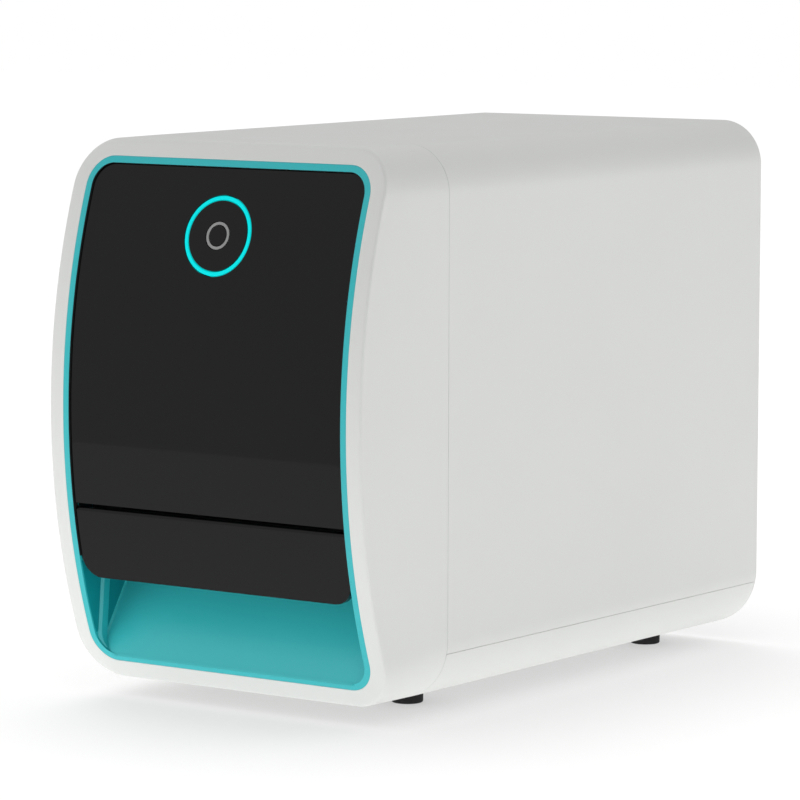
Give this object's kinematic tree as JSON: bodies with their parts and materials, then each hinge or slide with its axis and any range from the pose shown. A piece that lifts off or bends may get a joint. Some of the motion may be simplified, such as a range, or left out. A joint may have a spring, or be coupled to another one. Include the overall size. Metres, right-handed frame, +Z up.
{
  "type": "phosphor plate scanner",
  "caption": "Upright desktop scanner with a bulging black front, a lit start button, a narrow plate slot and a teal exit pocket.",
  "frame": {"origin": "on the ground under the middle of the footprint", "axes": "+Y from the front to the back, +X to the object's right seen from the front, +Z up"},
  "size_m": [0.146, 0.26, 0.205],
  "materials": {
    "black_gloss": "polished black panel",
    "black_matte": "matt black moulded plastic",
    "brass": "turned brass",
    "circuit_green": "green solder resist",
    "cyan_light": "lit cyan light guide",
    "grey_casting": "fine sand-blasted casting",
    "grey_inlay": "satin grey trim",
    "ground_steel": "ground and polished bar",
    "led_white": "milky diffuser",
    "lens_glass": "clear moulded optical plastic",
    "mirror": "front-coated mirror",
    "rubber": "matt black rubber",
    "sheet_steel": "zinc-plated sheet",
    "teal_plastic": "satin teal moulded plastic",
    "white_nylon": "off-white moulded nylon",
    "white_shell": "fine matt white moulded plastic",
    "zinc_screw": "bright zinc plating"
  },
  "bodies": {
    "housing": {"base_tray": "white_shell", "button_board": "circuit_green", "chassis_plate": "sheet_steel", "chassis_screw_1": "zinc_screw", "chassis_screw_2": "zinc_screw", "chassis_screw_3": "zinc_screw", "chassis_screw_4": "zinc_screw", "dc_jack": "black_matte", "eraser_bar": "led_white", "fan_housing": "black_matte", "fold_mirror": "mirror", "foot_front_left": "rubber", "foot_front_right": "rubber", "foot_rear_left": "rubber", "foot_rear_right": "rubber", "front_bezel": "white_shell", "front_bracket": "sheet_steel", "guide_rod_left": "ground_steel", "guide_rod_right": "ground_steel", "io_board": "circuit_green", "laser_module": "black_matte", "light_collector": "lens_glass", "light_ring": "cyan_light", "main_board": "circuit_green", "optics_cover": "sheet_steel", "optics_deck": "grey_casting", "panel_screw_1": "zinc_screw", "panel_screw_2": "zinc_screw", "panel_screw_3": "zinc_screw", "panel_screw_4": "zinc_screw", "photomultiplier": "sheet_steel", "polygon_motor": "grey_casting", "power_board": "circuit_green", "rear_bracket": "sheet_steel", "rear_cover": "white_shell", "rear_panel": "black_matte", "scan_lens": "lens_glass", "screw_bearing": "brass", "side_plate_left": "sheet_steel", "side_plate_right": "sheet_steel", "slot_guide": "black_matte", "stepper_motor": "black_matte", "switch_frame": "black_matte", "teal_liner": "teal_plastic", "upper_fascia": "black_gloss", "usb_socket": "zinc_screw"},
    "exit_flap": {"exit_flap": "black_gloss"},
    "start_button": {"start_button": "black_gloss", "button_inlay": "grey_inlay", "switch_plunger": "white_nylon"},
    "light_shutter": {"light_shutter": "black_matte"},
    "carriage": {"carriage": "white_nylon", "carriage_nut": "brass", "tray_pin": "ground_steel", "tray_spring": "ground_steel"},
    "lead_screw": {"lead_screw": "ground_steel"},
    "plate_tray": {"plate_tray": "black_matte"},
    "polygon_mirror": {"polygon_mirror": "mirror"},
    "power_rocker": {"power_rocker": "black_gloss"},
    "fan_rotor": {"fan_rotor": "black_matte"}
  },
  "joints": [
    {"name": "flap_hinge", "type": "hinge", "parent": "housing", "child": "exit_flap", "pos_m": [0, -0.12244, 0.0663], "axis": [-1, 0, 0], "range_deg": [0, 70]},
    {"name": "button_slide", "type": "slide", "parent": "housing", "child": "start_button", "axis": [0, 0.9635, -0.2676], "range_m": [0, 0.0012], "stiffness_N_per_m": 600, "springref_m": -0.001},
    {"name": "shutter_hinge", "type": "hinge", "parent": "housing", "child": "light_shutter", "pos_m": [0, -0.10254, 0.079], "axis": [1, 0, 0], "range_deg": [0, 60]},
    {"name": "carriage_slide", "type": "slide", "parent": "housing", "child": "carriage", "axis": [0, 1, 0], "range_m": [0, 0.1]},
    {"name": "screw_spin", "type": "hinge", "parent": "housing", "child": "lead_screw", "pos_m": [0, -0.051, 0.03895], "axis": [0, 1, 0], "range_deg": [0, 3605]},
    {"name": "tray_tilt", "type": "hinge", "parent": "carriage", "child": "plate_tray", "pos_m": [0, -0.039, 0.06795], "axis": [1, 0, 0], "range_deg": [0, 18], "stiffness_Nm_per_rad": 0.05, "springref_deg": -17.19, "deforming": ["tray_spring"]},
    {"name": "polygon_spin", "type": "hinge", "parent": "housing", "child": "polygon_mirror", "pos_m": [0, 0.06071, 0.11645], "axis": [0, 0, 1], "continuous": true},
    {"name": "rocker_tilt", "type": "hinge", "parent": "housing", "child": "power_rocker", "pos_m": [-0.04, 0.1265, 0.08], "axis": [1, 0, 0], "range_deg": [0, 12]},
    {"name": "fan_spin", "type": "hinge", "parent": "housing", "child": "fan_rotor", "pos_m": [0.03, 0.1137, 0.165], "axis": [0, 1, 0], "continuous": true}
  ],
  "couplings": [
    {"joint": "screw_spin", "follows": "carriage_slide", "rad_per_m": 628.32}
  ]
}
